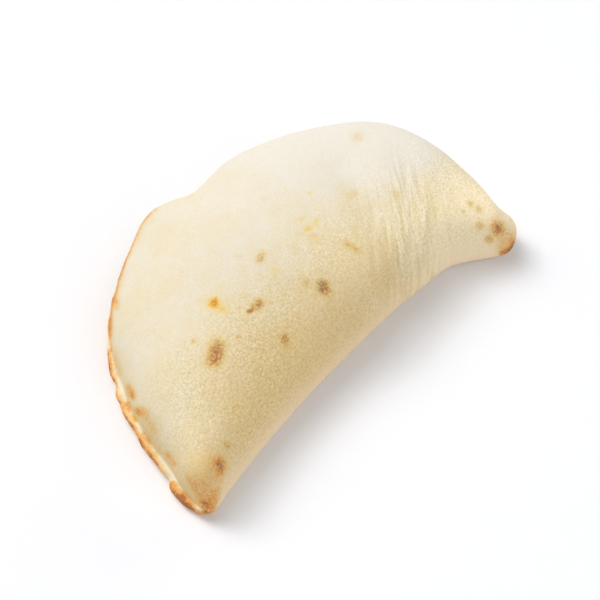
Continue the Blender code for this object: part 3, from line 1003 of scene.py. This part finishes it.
def baked(colour):
    """Oil, browning and char, each broken up by the grain."""
    oiled = times(oil, spread(fleck, *OIL_BREAKS))
    colour = staged(colour, oiled, OIL_STAGES)
    swing = spread(orange, 0.0, 1.0, TOAST_SWING_PLAIN, TOAST_SWING_WARM)
    broken = calc("MAXIMUM", swung(TOAST_LEVEL, fleck, swing), TOAST_LEAST)
    gaps = calc("MULTIPLY_ADD", spread(granule, *GRANULE_EDGE), GAP_TOAST, GRANULE_TOAST)
    browned = times(painted("toast"), times(broken, gaps))
    colour = staged(colour, browned, TOAST_STAGES)
    charred = times(painted("char"), spread(fleck, *CHAR_BREAKS))
    return staged(colour, charred, CHAR_STAGES)


def bumps():
    """Grain, single granules and wrinkles too fine for the mesh."""
    grains = times(spread(granule, *GRANULE_TOP), times(grit, BUMP_GRANULE))
    rise = calc("MULTIPLY_ADD", grit, BUMP_GRAIN_SANDY, BUMP_GRAIN)
    height = calc("MULTIPLY_ADD", grain, rise, grains)
    bump = tree.nodes.new("ShaderNodeBump")
    bump.inputs["Distance"].default_value = BUMP_DEPTH
    bump.inputs["Strength"].default_value = BUMP_STRENGTH
    tree.links.new(calc("MULTIPLY_ADD", line, BUMP_WRINKLE, height), bump.inputs["Height"])
    return bump.outputs["Normal"]


tree.links.new(baked(grained(plain_dough())), shader.inputs["Base Color"])
tree.links.new(calc("SUBTRACT", DULL, times(oil, OILY_SHINE), clamp=True),
               shader.inputs["Roughness"])
tree.links.new(bumps(), shader.inputs["Normal"])
shader.inputs["Specular IOR Level"].default_value = SPECULAR
body_mesh.materials.append(material)
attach(dough, "root")
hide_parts(NAME)

# ---------------------------------------------------------------- floor, light, camera
FLOOR_SIZE = 6.0
FLOOR_COLOUR = (0.895, 0.90, 0.925, 1)
TENT_GLOW = 0.243
PANELS = (                   # azimuth, elevation and breadth in degrees, strength
    (98.0, 48.0, 30.0, 0.72),
    (88.0, 60.0, 40.0, 1.13),
    (112.0, 38.0, 40.0, 0.38),
    (265.0, 42.0, 70.0, 1.03),
    (4.0, 14.0, 44.0, 0.45),
)
KEY_FROM = Vector((-0.17, 0.64, 0.75)).normalized()
KEY_DISTANCE, KEY_BREADTH = 1.6, 0.40
KEY_POWER = 2.08


def make_floor():
    bpy.ops.mesh.primitive_plane_add(size=FLOOR_SIZE, location=(0.0, 0.0, 0.0))
    floor = bpy.context.object
    floor.name = "floor"
    paper = bpy.data.materials.new("floor")
    paper.use_nodes = True
    paint = paper.node_tree.nodes["Principled BSDF"]
    paint.inputs["Base Color"].default_value = FLOOR_COLOUR
    paint.inputs["Roughness"].default_value = 0.9
    paint.inputs["Specular IOR Level"].default_value = 0.0
    floor.data.materials.append(paper)
    return floor


def make_world():
    world = bpy.data.worlds.new("studio")
    bpy.context.scene.world = world
    world.use_nodes = True
    background = world.node_tree.nodes["Background"]
    background.inputs["Color"].default_value = (1.0, 1.0, 1.0, 1.0)
    background.inputs["Strength"].default_value = TENT_GLOW
    bpy.context.scene.view_settings.view_transform = "Standard"


def stand(name, data, back, distance=0.0, target=Vector((0.0, 0.0, 0.0))):
    """A lamp or camera that looks at the target from the way `back`."""
    held = bpy.data.objects.new(name, data)
    bpy.context.scene.collection.objects.link(held)
    held.location = target + back * distance
    held.rotation_euler = back.to_track_quat("Z", "Y").to_euler()
    return held


def toward(azimuth, elevation):
    a, e = math.radians(azimuth), math.radians(elevation)
    return Vector((math.cos(a) * math.cos(e), math.sin(a) * math.cos(e), math.sin(e)))


def make_lights():
    """Large soft panels round the table, and a key lamp that draws the shadow."""
    for number, (azimuth, elevation, breadth, strength) in enumerate(PANELS):
        panel = bpy.data.lights.new("panel_%d" % number, "SUN")
        panel.energy = strength
        panel.angle = math.radians(breadth)
        stand("panel_%d" % number, panel, toward(azimuth, elevation))
    lamp = bpy.data.lights.new("key", "AREA")
    lamp.shape = "DISK"
    lamp.size = KEY_BREADTH
    lamp.energy = KEY_POWER
    stand("key", lamp, KEY_FROM, KEY_DISTANCE)


def make_camera():
    lens = bpy.data.cameras.new("camera")
    lens.lens = LENS
    lens.sensor_width = SENSOR
    return stand("camera", lens, CAMERA_BACK, CAMERA_DISTANCE, CAMERA_TARGET)


floor = make_floor()
make_world()
make_lights()
bpy.context.scene.camera = make_camera()
